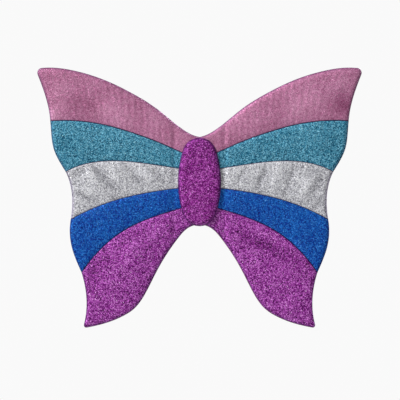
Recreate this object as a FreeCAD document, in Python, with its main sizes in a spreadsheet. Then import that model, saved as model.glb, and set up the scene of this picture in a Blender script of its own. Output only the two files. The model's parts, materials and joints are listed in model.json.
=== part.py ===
import FreeCAD, Part
import math
import os
import Sketcher

# Fairy wings: two padded, striped wings that fold on their cloth at each side
# of a padded body, with two elastic arm straps behind.
#
# Frame: +Z up, +X to the wearer's right. The glitter side faces -Y and the
# wearer's back is at +Y. The origin is the centre of the back patch's outer
# face, which rests on the wearer. Lengths are millimetres, angles degrees.
# Plates are stacked towards -Y: patch, backing, wadding, stripes, body.

doc = FreeCAD.newDocument("fairy_wings")
sheet = doc.addObject("Spreadsheet::Sheet", "dimensions")

DRIVING_DIMENSIONS = (
    ("half_span", 225.0),
    ("wing_height", 360.0),
    ("fold_offset", 35.0),
    ("fold_clearance", 1.3),
    ("stripe_thickness", 0.8),
    ("wadding_thickness", 3.6),
    ("backing_thickness", 1.0),
    ("patch_thickness", 1.2),
    ("patch_width", 30.0),
    ("patch_height", 108.0),
    ("patch_corner", 4.0),
    ("body_half_width", 30.0),
    ("body_half_height", 61.5),
    ("body_end_radius", 24.0),
    ("body_depth", 8.2),
    ("body_edge_radius", 6.4),
    ("cover_thickness", 0.8),
    ("board_width", 26.0),
    ("board_height", 96.0),
    ("board_corner", 6.0),
    ("board_thickness", 1.5),
    ("wire_diameter", 1.6),
    ("wire_clearance", 0.3),
    ("wire_gap", 1.0),
    ("wire_inner_run", 46.0),
    ("ferrule_diameter", 2.8),
    ("ferrule_length", 14.0),
    ("strap_width", 10.0),
    ("strap_thickness", 1.0),
    ("strap_offset", 24.0),
    ("strap_stand_off", 5.0),
    ("strap_reach", 105.0),
    ("strap_upper_rise", 55.0),
    ("strap_lower_drop", 27.0),
    ("strap_sag", 15.0),
    ("strap_splay", 20.0),
    ("tab_length", 11.0),
    ("tab_thickness", 0.8),
    ("tack_width", 8.0),
    ("tack_height", 1.6),
    ("label_width", 13.0),
    ("label_height", 16.0),
    ("label_thickness", 0.3),
)

for row, (alias, value) in enumerate(DRIVING_DIMENSIONS, start=1):
    sheet.set("A%d" % row, alias)
    sheet.set("B%d" % row, str(value))
    sheet.setAlias("B%d" % row, alias)
doc.recompute()

# The outlines below are drawn for these two sizes and stretched to the sheet's.
DRAWN_HALF_SPAN = 225.0
DRAWN_HEIGHT = 360.0

STRIPES = ("pink", "teal", "silver", "blue", "purple")
SIDES = (("left", -1), ("right", 1))

# Right-hand wing, from the centre line outwards, as (x, z) pairs.
UPPER_EDGE = (
    (0, 62.5), (10, 65.5), (20, 71), (35, 82), (61, 103), (94, 123.4),
    (135, 142.8), (170, 153.6), (203, 158.6), (217.5, 158.3),
)
UPPER_TIP = ((217.5, 158.3), (223.4, 155.8), (224.6, 149))
LOWER_EDGE = (
    (0, -59.5), (10, -60.5), (19, -65.5), (30, -77.5), (44, -97), (61, -126),
    (77, -157), (91, -175.5), (107, -186), (130, -195.3), (156, -201.5),
)
LOWER_TIP = ((156, -201.5), (159.8, -200.4), (160.2, -197))

# The outer edge, one run per stripe; each run starts where the last one ends.
OUTER_EDGE = (
    ((224.6, 149), (214.5, 121.5), (209.2, 101), (207, 84.5)),
    ((207, 84.5), (205.4, 64), (202, 45), (195.5, 30.5), (185.5, 14)),
    ((185.5, 14), (178.6, -6), (176.4, -30), (178.6, -52)),
    ((178.6, -52), (180, -70), (177.3, -90), (170.5, -110), (163.6, -125.8)),
    ((163.6, -125.8), (157.6, -153), (156.8, -175), (160.2, -197)),
)

# The four seams between the stripes, from the centre line to the outer edge.
SEAMS = (
    ((0, 31), (26, 41.5), (53, 53.4), (98, 69.8), (135, 79.8), (170, 84.6), (207, 84.5)),
    ((0, 15), (30, 18.8), (72, 25.2), (119, 29.2), (152, 26.2), (185.5, 14)),
    ((0, -7), (28, -8.6), (69, -14.2), (111, -23.6), (144, -35), (178.6, -52)),
    ((0, -29), (35, -39), (69, -50.3), (108, -69.4), (138, -94.2), (163.6, -125.8)),
)

# Corners of the wing wire's path, in the rim, and the bend at each corner.
WIRE_CORNERS = (
    (46, 82, 9), (100, 119, 90), (160, 143.5, 80), (212.5, 150, 9), (202.5, 104, 60),
    (198.5, 62, 50), (194.5, 43, 25), (177.5, 11, 25), (170, -13, 35), (169.3, -37, 40),
    (172.4, -69, 30), (169, -91, 35), (155.6, -127, 45), (149.5, -160, 60), (149.5, -190, 7),
    (118, -183, 30), (96, -171.5, 25), (80, -150, 40), (46, -89, 9),
)


def size(alias):
    """The number in the sheet's cell of this name."""
    return float(sheet.get(alias))


def cell(alias):
    """The same cell, as an expression that a property can be bound to."""
    return "dimensions." + alias


ACROSS = size("half_span") / DRAWN_HALF_SPAN
UPWARD = size("wing_height") / DRAWN_HEIGHT

# Depths of the layers' back faces, as expressions over the sheet.
BACKING_BACK = "-dimensions.patch_thickness"
WADDING_BACK = BACKING_BACK + " - dimensions.backing_thickness"
STRIPE_BACK = WADDING_BACK + " - dimensions.wadding_thickness"
BODY_BACK = STRIPE_BACK + " - dimensions.stripe_thickness"
WIRE_DEPTH = WADDING_BACK + " - dimensions.wadding_thickness / 2"


def place(points, side=1):
    """Drawn (x, z) points as sketch vectors on one side, at the sheet's size."""
    return [FreeCAD.Vector(side * x * ACROSS, z * UPWARD, 0) for x, z in points]


def spline(points, side=1):
    curve = Part.BSplineCurve()
    curve.interpolate(place(points, side))
    return curve


def parameter_at(curve, distance):
    """Where a curve that runs outwards is this far from the centre line."""
    low = curve.FirstParameter
    high = curve.LastParameter
    for _ in range(60):
        middle = (low + high) / 2
        if abs(curve.value(middle).x) < distance:
            low = middle
        else:
            high = middle
    return middle


def outer_part(curve, distance):
    """The stretch of an outward curve beyond this distance."""
    part = curve.copy()
    part.segment(parameter_at(curve, distance), curve.LastParameter)
    return part


def inner_part(curve, distance):
    """The stretch of an outward curve from the centre line to this distance."""
    part = curve.copy()
    part.segment(curve.FirstParameter, parameter_at(curve, distance))
    return part


def across_centre(points, distance):
    """Both halves of a line across the body: left end, centre, right end."""
    left = inner_part(spline(points, -1), distance)
    left.reverse()
    return [left, inner_part(spline(points, 1), distance)]


def backwards(curves):
    """The same chain of curves, run the other way."""
    chain = []
    for curve in reversed(curves):
        part = curve.copy()
        part.reverse()
        chain.append(part)
    return chain


def ends(curve):
    return curve.value(curve.FirstParameter), curve.value(curve.LastParameter)


def straight(start, end):
    return Part.LineSegment(start, end)


def closed_by_line(chain):
    """A chain of curves with a straight line back to its start."""
    return chain + [straight(ends(chain[-1])[1], ends(chain[0])[0])]


def new_body(label):
    body = doc.addObject("PartDesign::Body", label)
    body.Label = label
    return body


def new_sketch(body, plane, name):
    """An empty sketch on one of the body's own origin planes."""
    sketch = body.newObject("Sketcher::SketchObject", body.Label + "_" + name)
    origin_plane = [f for f in body.Origin.OriginFeatures if f.Role == plane][0]
    sketch.AttachmentSupport = (origin_plane, [""])
    sketch.MapMode = "FlatFace"
    return sketch


def end_marks(geometry):
    """Sketcher's numbers for a curve's first and last point, in drawing order."""
    if isinstance(geometry, Part.ArcOfCircle) and geometry.Circle.Axis.z < 0:
        return 2, 1
    return 1, 2


def draw_chain(sketch, chain, closed=True):
    """Draw curves end to end and join their ends; returns their numbers."""
    numbers = [sketch.addGeometry(curve, False) for curve in chain]
    pairs = list(zip(range(len(chain)), list(range(1, len(chain))) + [0]))
    if not closed:
        pairs = pairs[:-1]
    for this, following in pairs:
        last = end_marks(chain[this])[1]
        first = end_marks(chain[following])[0]
        sketch.addConstraint(
            Sketcher.Constraint("Coincident", numbers[this], last, numbers[following], first)
        )
    return numbers


def bind(sketch, kind, number, value, expression, mark=None):
    """Add a dimension to a sketch and bind it to the sheet."""
    if mark is None:
        index = sketch.addConstraint(Sketcher.Constraint(kind, number, value))
    else:
        index = sketch.addConstraint(Sketcher.Constraint(kind, number, mark, value))
    sketch.setExpression("Constraints[%d]" % index, expression)


def pad(body, sketch, length, midplane=False):
    feature = body.newObject("PartDesign::Pad", body.Label + "_pad")
    feature.Profile = sketch
    if midplane:
        feature.SideType = "Symmetric"
    feature.setExpression("Length", length)
    body.Tip = feature
    return feature


def plate(label, chain, thickness, back, fold_lines=()):
    """A flat piece: an outline in X and Z, padded from its back face to -Y.

    fold_lines gives, for each straight edge beside a fold, its place in the
    chain and the expression for its distance from the centre line.
    """
    body = new_body(label)
    sketch = new_sketch(body, "XZ_Plane", "outline")
    numbers = draw_chain(sketch, chain)
    for index, expression in fold_lines:
        x = chain[index].StartPoint.x
        bind(sketch, "DistanceX", numbers[index], x, expression, mark=1)
        sketch.addConstraint(Sketcher.Constraint("Vertical", numbers[index]))
    pad(body, sketch, cell(thickness))
    body.setExpression("Placement.Base.y", back)
    return body


# Wing outlines

def wing_top(stripe, side, inner):
    """The upper line of a stripe, out to the outer edge."""
    if stripe > 0:
        return [outer_part(spline(SEAMS[stripe - 1], side), inner)]
    tip = place(UPPER_TIP, side)
    return [outer_part(spline(UPPER_EDGE, side), inner), Part.Arc(*tip).toBSpline()]


def wing_bottom(stripe, side, inner):
    """The lower line of a stripe, out to the outer edge."""
    if stripe < len(SEAMS):
        return [outer_part(spline(SEAMS[stripe], side), inner)]
    tip = place(LOWER_TIP, side)
    return [outer_part(spline(LOWER_EDGE, side), inner), Part.Arc(*tip).toBSpline()]


def wing_outline(first, last, side):
    """Closed outline of a wing from one stripe to another, straight at the fold."""
    inner = size("fold_offset") + size("fold_clearance")
    chain = wing_top(first, side, inner)
    chain += [spline(OUTER_EDGE[stripe], side) for stripe in range(first, last + 1)]
    chain += backwards(wing_bottom(last, side, inner))
    return closed_by_line(chain)


def wing_plate(label, first, last, side, thickness, back):
    chain = wing_outline(first, last, side)
    fold = "%d * (%s + %s)" % (side, cell("fold_offset"), cell("fold_clearance"))
    return plate(label, chain, thickness, back, [(len(chain) - 1, fold)])


def centre_line(index):
    """Line number 0 is the upper edge, then the seams, then the lower edge."""
    lines = (UPPER_EDGE,) + SEAMS + (LOWER_EDGE,)
    return across_centre(lines[index], size("fold_offset") - size("fold_clearance"))


def centre_plate(label, first, last, thickness, back):
    """A flat piece between the two folds, from one stripe to another."""
    top = centre_line(first)
    bottom = backwards(centre_line(last + 1))
    right_fold = straight(ends(top[-1])[1], ends(bottom[0])[0])
    chain = top + [right_fold] + bottom
    chain = closed_by_line(chain)
    reach = "%s - %s" % (cell("fold_offset"), cell("fold_clearance"))
    folds = [(2, reach), (5, "-1 * (%s)" % reach)]
    return plate(label, chain, thickness, back, folds)


# Rounded shapes

def rounded_rectangle(width, height, corner):
    """Four lines and four quarter circles about the origin."""
    chain = []
    for quarter in range(4):
        turn = math.radians(90 * quarter)
        along = height if quarter % 2 else width
        beside = width if quarter % 2 else height
        spin = FreeCAD.Rotation(FreeCAD.Vector(0, 0, 1), math.degrees(turn))
        start = spin.multVec(FreeCAD.Vector(-along / 2 + corner, -beside / 2, 0))
        end = spin.multVec(FreeCAD.Vector(along / 2 - corner, -beside / 2, 0))
        centre = spin.multVec(FreeCAD.Vector(along / 2 - corner, -beside / 2 + corner, 0))
        circle = Part.Circle(centre, FreeCAD.Vector(0, 0, 1), corner)
        chain.append(straight(start, end))
        chain.append(Part.ArcOfCircle(circle, turn - math.pi / 2, turn))
    return chain


def rounded_plate(label, width, height, corner, thickness, back):
    """A flat piece with rounded corners, whose sizes are cells of the sheet."""
    body = new_body(label)
    sketch = new_sketch(body, "XZ_Plane", "outline")
    chain = rounded_rectangle(size(width), size(height), size(corner))
    numbers = draw_chain(sketch, chain)
    for number in numbers[1::2]:
        bind(sketch, "Radius", number, size(corner), cell(corner))
    bind(sketch, "DistanceY", numbers[0], -size(height) / 2, "-%s / 2" % cell(height), mark=1)
    bind(sketch, "DistanceX", numbers[2], size(width) / 2, "%s / 2" % cell(width), mark=1)
    pad(body, sketch, cell(thickness))
    body.setExpression("Placement.Base.y", back)
    return body


def oval(half_width, half_height, end_radius):
    """An oval of four tangent arcs: two ends and two long sides."""
    end_centre = half_height - end_radius
    side_radius = (half_width ** 2 + end_centre ** 2 - end_radius ** 2) / (2 * (half_width - end_radius))
    side_centre = side_radius - half_width
    lean = math.atan2(end_centre, side_centre)
    normal = FreeCAD.Vector(0, 0, 1)
    arcs = (
        ((-side_centre, 0), side_radius, -lean, lean),
        ((0, end_centre), end_radius, lean, math.pi - lean),
        ((side_centre, 0), side_radius, math.pi - lean, math.pi + lean),
        ((0, -end_centre), end_radius, math.pi + lean, 2 * math.pi - lean),
    )
    chain = []
    for (x, y), radius, start, end in arcs:
        circle = Part.Circle(FreeCAD.Vector(x, y, 0), normal, radius)
        chain.append(Part.ArcOfCircle(circle, start, end))
    return chain


def pillow(label, inset):
    """A padded oval, its front edge rounded; inset is 1 for the stuffing inside."""
    body = new_body(label)
    sketch = new_sketch(body, "XZ_Plane", "outline")
    skin = inset * size("cover_thickness")
    end_radius = size("body_end_radius") - skin
    chain = oval(size("body_half_width") - skin, size("body_half_height") - skin, end_radius)
    numbers = draw_chain(sketch, chain)
    trimmed = " - %d * %s" % (inset, cell("cover_thickness"))
    for number in (numbers[1], numbers[3]):
        bind(sketch, "Radius", number, end_radius, cell("body_end_radius") + trimmed)
    block = pad(body, sketch, cell("body_depth") + trimmed)
    doc.recompute()
    front = block.Shape.BoundBox.YMin
    rim = [
        "Edge%d" % number
        for number, edge in enumerate(block.Shape.Edges, start=1)
        if abs(edge.BoundBox.YMin - front) < 0.01 and abs(edge.BoundBox.YMax - front) < 0.01
    ]
    rounded = body.newObject("PartDesign::Fillet", label + "_rounded_edge")
    rounded.Base = (block, rim)
    rounded.setExpression("Radius", cell("body_edge_radius") + trimmed)
    body.Tip = rounded
    body.setExpression("Placement.Base.y", BODY_BACK)
    return body


# Wing wire

def wire_path(side):
    """Straight runs joined by tangent arcs, open by a small gap inside the ferrule."""
    inner = size("wire_inner_run")
    gap = size("wire_gap")
    corners = [(side * x * ACROSS, z * UPWARD, bend) for x, z, bend in WIRE_CORNERS]
    corners[0] = (side * inner, corners[0][1], corners[0][2])
    corners[-1] = (side * inner, corners[-1][1], corners[-1][2])
    points = [FreeCAD.Vector(side * inner, gap / 2, 0)]
    points += [FreeCAD.Vector(x, z, 0) for x, z, bend in corners]
    points += [FreeCAD.Vector(side * inner, -gap / 2, 0)]
    bends = [bend for x, z, bend in corners]
    chain = []
    start = points[0]
    for before, corner, after, bend in zip(points, points[1:], points[2:], bends):
        inward = (corner - before).normalize()
        outward = (after - corner).normalize()
        turn = inward.getAngle(outward)
        room = 0.45 * min((corner - before).Length, (after - corner).Length)
        radius = min(bend, room / math.tan(turn / 2))
        cut = radius * math.tan(turn / 2)
        enter = corner - inward * cut
        leave = corner + outward * cut
        middle = corner + (outward - inward).normalize() * (radius / math.cos(turn / 2) - radius)
        chain.append(straight(start, enter))
        chain.append(Part.Arc(enter, middle, leave))
        start = leave
    chain.append(straight(start, points[-1]))
    return chain


def rod_along_wire(label, side, diameter):
    """A round rod along the wire's path, at the middle of the wadding."""
    body = new_body(label)
    spine = new_sketch(body, "XZ_Plane", "spine")
    for curve in wire_path(side):
        spine.addGeometry(curve, False)
    section = new_sketch(body, "XY_Plane", "section")
    start = FreeCAD.Vector(side * size("wire_inner_run"), 0, size("wire_gap") / 2)
    section.AttachmentOffset = FreeCAD.Placement(start, FreeCAD.Rotation())
    circle = Part.Circle(FreeCAD.Vector(0, 0, 0), FreeCAD.Vector(0, 0, 1), size("wire_diameter") / 2)
    number = section.addGeometry(circle, False)
    sketch_centre = Sketcher.Constraint("Coincident", number, 3, -1, 1)
    section.addConstraint(sketch_centre)
    bind(section, "Diameter", number, size("wire_diameter"), diameter)
    doc.recompute()
    rod = body.newObject("PartDesign::AdditivePipe", label + "_rod")
    rod.Profile = section
    rod.Spine = (spine, ["Edge%d" % n for n in range(1, len(spine.Shape.Edges) + 1)])
    body.Tip = rod
    body.setExpression("Placement.Base.y", WIRE_DEPTH)
    return body


def wire_ferrule(label, side):
    """The crimped sleeve that joins the wire's two ends."""
    body = new_body(label)
    sketch = new_sketch(body, "XY_Plane", "section")
    for alias in ("ferrule_diameter", "wire_diameter"):
        circle = Part.Circle(FreeCAD.Vector(0, 0, 0), FreeCAD.Vector(0, 0, 1), size(alias) / 2)
        number = sketch.addGeometry(circle, False)
        sketch.addConstraint(Sketcher.Constraint("Coincident", number, 3, -1, 1))
        bind(sketch, "Diameter", number, size(alias), cell(alias))
    pad(body, sketch, cell("ferrule_length"), midplane=True)
    body.setExpression("Placement.Base.x", "%d * %s" % (side, cell("wire_inner_run")))
    body.setExpression("Placement.Base.y", WIRE_DEPTH)
    return body


def ferrule_pocket(label, side):
    """Room for the ferrule, open at the wadding's front face."""
    box = doc.addObject("Part::Box", label)
    room = "(%s + 2 * %s)" % (cell("ferrule_diameter"), cell("wire_clearance"))
    box.setExpression("Length", room)
    box.setExpression("Width", "%s / 2 + %s" % (room, cell("wadding_thickness")))
    box.setExpression("Height", "%s + 2 * %s" % (cell("ferrule_length"), cell("wire_clearance")))
    box.setExpression("Placement.Base.x", "%d * %s - %s / 2" % (side, cell("wire_inner_run"), room))
    front = "%s - %s" % (WIRE_DEPTH, cell("wadding_thickness"))
    box.setExpression("Placement.Base.y", front)
    box.setExpression(
        "Placement.Base.z", "-%s / 2 - %s" % (cell("ferrule_length"), cell("wire_clearance"))
    )
    return box


def cut(label, base, tool):
    """base without tool; fails if nothing was removed."""
    feature = doc.addObject("Part::Cut", label)
    feature.Label = label
    feature.Base = base
    feature.Tool = tool
    doc.recompute()
    if feature.Shape.Volume >= base.Shape.Volume:
        raise RuntimeError(label + ": the cut removed nothing")
    return feature


def group(label, members):
    """Separate solids of one kind, kept together under one name."""
    feature = doc.addObject("Part::Compound", label)
    feature.Label = label
    feature.Links = members
    return feature


def wing_wadding(side_name, side):
    sheet_of_wadding = wing_plate(
        side_name + "_wadding_sheet", 0, len(STRIPES) - 1, side, "wadding_thickness", WADDING_BACK
    )
    wide = "%s + 2 * %s" % (cell("wire_diameter"), cell("wire_clearance"))
    tunnel = rod_along_wire(side_name + "_wire_tunnel", side, wide)
    pocket = ferrule_pocket(side_name + "_ferrule_pocket", side)
    channel = doc.addObject("Part::Fuse", side_name + "_wire_channel")
    channel.Base = tunnel
    channel.Tool = pocket
    return cut(side_name + "_wing_wadding", sheet_of_wadding, channel)


# Straps

def quarter_ellipse(reach, rise, upper):
    """A quarter of an ellipse about (0, -sag), from the nose up or down to it."""
    centre = FreeCAD.Vector(0, -size("strap_sag"), 0)
    ellipse = Part.Ellipse(centre, reach, rise)
    if upper:
        return Part.ArcOfEllipse(ellipse, 0, math.pi / 2)
    return Part.ArcOfEllipse(ellipse, 3 * math.pi / 2, 2 * math.pi)


def strap_loop(label, side):
    """An elastic band bent into a drooping D, its two ends on the swing axis."""
    reach = size("strap_reach")
    upper = size("strap_upper_rise")
    lower = size("strap_lower_drop")
    skin = size("strap_thickness")
    outer = [quarter_ellipse(reach, lower, False), quarter_ellipse(reach, upper, True)]
    inner = [
        quarter_ellipse(reach - skin, upper - skin, True),
        quarter_ellipse(reach - skin, lower - skin, False),
    ]
    top_end = straight(ends(outer[1])[1], ends(inner[0])[1])
    bottom_end = straight(ends(inner[1])[0], ends(outer[0])[0])
    body = new_body(label)
    sketch = new_sketch(body, "YZ_Plane", "band")
    chain = outer + [top_end] + inner + [bottom_end]
    numbers = [sketch.addGeometry(curve, False) for curve in chain]
    joints = ((0, 2, 1, 1), (1, 2, 2, 1), (2, 2, 3, 2), (3, 1, 4, 2), (4, 1, 5, 1), (5, 2, 0, 1))
    for this, last, following, first in joints:
        sketch.addConstraint(
            Sketcher.Constraint("Coincident", numbers[this], last, numbers[following], first)
        )
    nose = "-" + cell("strap_sag")
    bind(sketch, "DistanceX", numbers[0], reach, cell("strap_reach"), mark=2)
    bind(sketch, "DistanceY", numbers[0], -size("strap_sag"), nose, mark=2)
    pad(body, sketch, cell("strap_width"), midplane=True)
    turn = FreeCAD.Rotation(FreeCAD.Vector(0, 0, 1), -side * size("strap_splay"))
    body.Placement = FreeCAD.Placement(FreeCAD.Vector(0, 0, 0), turn)
    body.setExpression("Placement.Base.x", "%d * %s" % (side, cell("strap_offset")))
    body.setExpression("Placement.Base.y", cell("strap_stand_off"))
    return body


def block(label, sizes, corner):
    """A box whose three sizes and lowest corner are expressions."""
    box = doc.addObject("Part::Box", label)
    box.Label = label
    for name, expression in zip(("Length", "Width", "Height"), sizes):
        box.setExpression(name, expression)
    for axis, expression in zip("xyz", corner):
        box.setExpression("Placement.Base." + axis, expression)
    return box


TAB_TOP = "%s - %s" % (cell("strap_upper_rise"), cell("strap_sag"))
TAB_BOTTOM = "-%s - %s" % (cell("strap_lower_drop"), cell("strap_sag"))
TAB_LOW_CORNERS = (
    ("upper", "%s - %s" % (TAB_TOP, cell("tab_length"))),
    ("lower", TAB_BOTTOM),
)


def strap_tabs(side_name, side):
    """The strap's two sewn-down ends, flat on the backing."""
    tabs = []
    sizes = (cell("strap_width"), cell("tab_thickness"), cell("tab_length"))
    low_x = "%d * %s - %s / 2" % (side, cell("strap_offset"), cell("strap_width"))
    for level, low_z in TAB_LOW_CORNERS:
        corner = (low_x, BACKING_BACK, low_z)
        tabs.append(block("%s_%s_tab" % (side_name, level), sizes, corner))
    return group(side_name + "_strap_tabs", tabs)


def strap_tacks():
    """One dense bar of thread across each tab."""
    tacks = []
    depth = "%s - %s" % (cell("patch_thickness"), cell("tab_thickness"))
    sizes = (cell("tack_width"), depth, cell("tack_height"))
    back = "%s + %s" % (BACKING_BACK, cell("tab_thickness"))
    for side_name, side in SIDES:
        low_x = "%d * %s - %s / 2" % (side, cell("strap_offset"), cell("tack_width"))
        for level, low_z in TAB_LOW_CORNERS:
            middle_z = "%s + %s / 2 - %s / 2" % (low_z, cell("tab_length"), cell("tack_height"))
            corner = (low_x, back, middle_z)
            tacks.append(block("%s_%s_tack" % (side_name, level), sizes, corner))
    return group("strap_tacks", tacks)


def care_label():
    """A blank satin tag caught under the patch's edge."""
    sizes = (cell("label_width"), cell("label_thickness"), cell("label_height"))
    corner = (cell("patch_width") + " / 2", BACKING_BACK, "-%s / 2" % cell("label_height"))
    return block("care_label", sizes, corner)


# Assembly

parts = []
for side_name, side in SIDES:
    for index, colour in enumerate(STRIPES):
        label = "%s_%s_stripe" % (side_name, colour)
        parts.append(wing_plate(label, index, index, side, "stripe_thickness", STRIPE_BACK))
    parts.append(wing_wadding(side_name, side))
    parts.append(
        wing_plate(
            side_name + "_wing_backing", 0, len(STRIPES) - 1, side, "backing_thickness", BACKING_BACK
        )
    )
    parts.append(rod_along_wire(side_name + "_wing_wire", side, cell("wire_diameter")))
    parts.append(wire_ferrule(side_name + "_wire_ferrule", side))
    parts.append(strap_loop(side_name + "_arm_strap", side))
    parts.append(strap_tabs(side_name, side))

for index, colour in enumerate(STRIPES):
    label = colour + "_stripe_centre"
    parts.append(centre_plate(label, index, index, "stripe_thickness", STRIPE_BACK))

spine_board = rounded_plate(
    "spine_board", "board_width", "board_height", "board_corner", "board_thickness", WADDING_BACK
)
wadding_blank = centre_plate(
    "centre_wadding_sheet", 0, len(STRIPES) - 1, "wadding_thickness", WADDING_BACK
)
body_stuffing = pillow("body_stuffing", 1)
body_blank = pillow("body_cover_blank", 0)
doc.recompute()

parts.append(spine_board)
parts.append(cut("centre_wadding", wadding_blank, spine_board))
parts.append(
    centre_plate("centre_backing", 0, len(STRIPES) - 1, "backing_thickness", BACKING_BACK)
)
parts.append(
    rounded_plate("back_patch", "patch_width", "patch_height", "patch_corner", "patch_thickness", "0")
)
parts.append(body_stuffing)
parts.append(cut("body_cover", body_blank, body_stuffing))
parts.append(strap_tacks())
parts.append(care_label())
doc.recompute()

for thing in doc.Objects:
    if "Invalid" in thing.State or "Error" in thing.State:
        raise RuntimeError("%s failed: %s" % (thing.Label, thing.State))
for piece in parts:
    if piece.Shape.isNull() or not piece.Shape.isValid():
        raise RuntimeError(piece.Label + " has no valid shape")

os.makedirs("parts", exist_ok=True)
for piece in parts:
    piece.Shape.exportStep("parts/%s.step" % piece.Label)
    box = piece.Shape.BoundBox
    print(
        "%-22s solids %d  volume %9.1f  x %7.1f %7.1f  y %6.1f %6.1f  z %7.1f %7.1f"
        % (
            piece.Label, len(piece.Shape.Solids), piece.Shape.Volume,
            box.XMin, box.XMax, box.YMin, box.YMax, box.ZMin, box.ZMax,
        )
    )
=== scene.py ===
"""Fairy wings: glitter cloth, backing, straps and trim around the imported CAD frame.

Metres, +Z up, the glitter side faces -Y. Sizes named _MM are millimetres.
Outlines and depths come from the CAD nodes; each side is worked out with x
positive outwards and then mirrored, so "side" is -1 for left and 1 for right.
"""

import json
import math
import bmesh
import bpy
import numpy as np
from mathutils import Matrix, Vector, noise


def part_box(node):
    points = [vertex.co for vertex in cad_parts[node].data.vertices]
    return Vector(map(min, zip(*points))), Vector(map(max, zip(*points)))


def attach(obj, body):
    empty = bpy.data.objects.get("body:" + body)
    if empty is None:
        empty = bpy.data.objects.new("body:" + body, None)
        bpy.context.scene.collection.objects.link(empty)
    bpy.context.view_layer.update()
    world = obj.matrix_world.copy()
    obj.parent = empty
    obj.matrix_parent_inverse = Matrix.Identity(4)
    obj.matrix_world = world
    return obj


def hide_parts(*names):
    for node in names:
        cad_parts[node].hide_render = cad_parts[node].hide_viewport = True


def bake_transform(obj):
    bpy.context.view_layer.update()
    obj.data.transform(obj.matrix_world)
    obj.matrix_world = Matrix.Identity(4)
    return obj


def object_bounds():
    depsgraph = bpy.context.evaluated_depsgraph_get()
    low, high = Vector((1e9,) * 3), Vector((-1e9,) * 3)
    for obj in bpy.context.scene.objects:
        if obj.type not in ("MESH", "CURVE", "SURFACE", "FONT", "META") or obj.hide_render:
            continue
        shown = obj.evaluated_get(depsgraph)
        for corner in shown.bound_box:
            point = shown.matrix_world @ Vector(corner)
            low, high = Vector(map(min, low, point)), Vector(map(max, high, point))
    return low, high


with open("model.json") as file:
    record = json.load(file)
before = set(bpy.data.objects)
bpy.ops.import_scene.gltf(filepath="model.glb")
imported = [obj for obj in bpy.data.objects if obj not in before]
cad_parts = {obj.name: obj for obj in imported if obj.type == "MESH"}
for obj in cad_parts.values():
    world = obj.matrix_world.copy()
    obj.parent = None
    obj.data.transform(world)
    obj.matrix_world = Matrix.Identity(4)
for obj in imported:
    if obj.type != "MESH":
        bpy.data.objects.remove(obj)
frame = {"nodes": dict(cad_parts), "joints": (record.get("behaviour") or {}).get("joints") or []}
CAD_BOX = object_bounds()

MM = 0.001
SIDES = (("left", -1), ("right", 1))
STRIPES = ("pink", "teal", "silver", "blue", "purple")
scene = bpy.context.scene

# Depths and places read from the frame.
FRONT_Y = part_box("left_pink_stripe")[0].y
BACK_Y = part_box("left_wing_backing")[1].y
MIDDLE_Y = (FRONT_Y + BACK_Y) / 2
FOLD_X = abs(next(j for j in frame["joints"] if j["name"] == "right_wing_fold")["pos_m"][0])

# How the outlines are read: points closer than SAME_PLACE are one.
SAME_PLACE = 1e-5
CORNER_REACH_MM = 5.0
CORNERS_APART_MM = 25.0
NEAR_FOLD_MM = 20.0
INNER_ZONE_MM = 45.0
OUTER_RUN_MM = 150.0

# How the cloth is laid over the frame.
RIM_ROUND_MM = 6.5
FRONT_RISE_MM = 3.5
RIM_SHIFT_MM = 0.5
EDGE_STEPS_MM = (0.0, 0.35, 0.9, 1.8, 3.1, 4.8)
SEAM_DITCH_MM = 0.9
SEAM_WIDTH_MM = 1.6
FOLD_DITCH_MM = 0.9
FOLD_DITCH_WIDTH_MM = 3.5
CALM_RIM_MM = 5.0
CALM_SEAM_MM = 4.0


# Outlines of the CAD plates

def front_loop(node):
    """The outline of a plate's front face, as (x, z) points in order round it."""
    shape = bmesh.new()
    shape.from_mesh(frame["nodes"][node].data)
    bmesh.ops.remove_doubles(shape, verts=shape.verts, dist=1e-6)
    front = min(v.co.y for v in shape.verts) + SAME_PLACE
    faces = {f for f in shape.faces if all(v.co.y < front for v in f.verts)}
    beside = {}
    for edge in shape.edges:
        if len(faces.intersection(edge.link_faces)) == 1:
            for v in edge.verts:
                beside.setdefault(v, []).append(edge.other_vert(v))
    start = min(beside, key=lambda v: v.index)
    loop = [start]
    here, after = start, beside[start][0]
    while after != start:
        loop.append(after)
        ahead = [v for v in beside[after] if v != here]
        here, after = after, ahead[0]
    places = np.array([(v.co.x, v.co.z) for v in loop])
    shape.free()
    return places


def arc_lengths(line):
    steps = np.linalg.norm(np.diff(line, axis=0), axis=1)
    return np.concatenate([[0.0], np.cumsum(steps)])


def place_on(line, lengths, travel):
    """Where a line is after this much travel along it."""
    return np.stack([np.interp(travel, lengths, line[:, k]) for k in (0, 1)], -1)


def along(line, shares):
    """Points at these shares of a line's length."""
    lengths = arc_lengths(line)
    return place_on(line, lengths, np.asarray(shares) * lengths[-1])


def unit(vectors):
    return vectors / np.maximum(np.linalg.norm(vectors, axis=1), 1e-12)[:, None]


def upright(flat, y):
    """Points in space from (x, z) points and their depths."""
    return np.stack([flat[:, 0], np.broadcast_to(y, len(flat)), flat[:, 1]], -1)


def quarter_round(share):
    """Rises from 0 to 1 like a quarter of a circle."""
    return np.sqrt(np.clip(1 - (1 - np.clip(share, 0, 1)) ** 2, 0, 1))


def sharpness(loop, reach):
    """How far the outline turns at each point, seen over this reach either way."""
    closed = np.vstack([loop, loop[:1]])
    lengths = arc_lengths(closed)
    here, total = lengths[:-1], lengths[-1]
    a = loop - place_on(closed, lengths, np.mod(here - reach, total))
    b = place_on(closed, lengths, np.mod(here + reach, total)) - loop
    return np.arccos(np.clip((unit(a) * unit(b)).sum(1), -1, 1))


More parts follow.
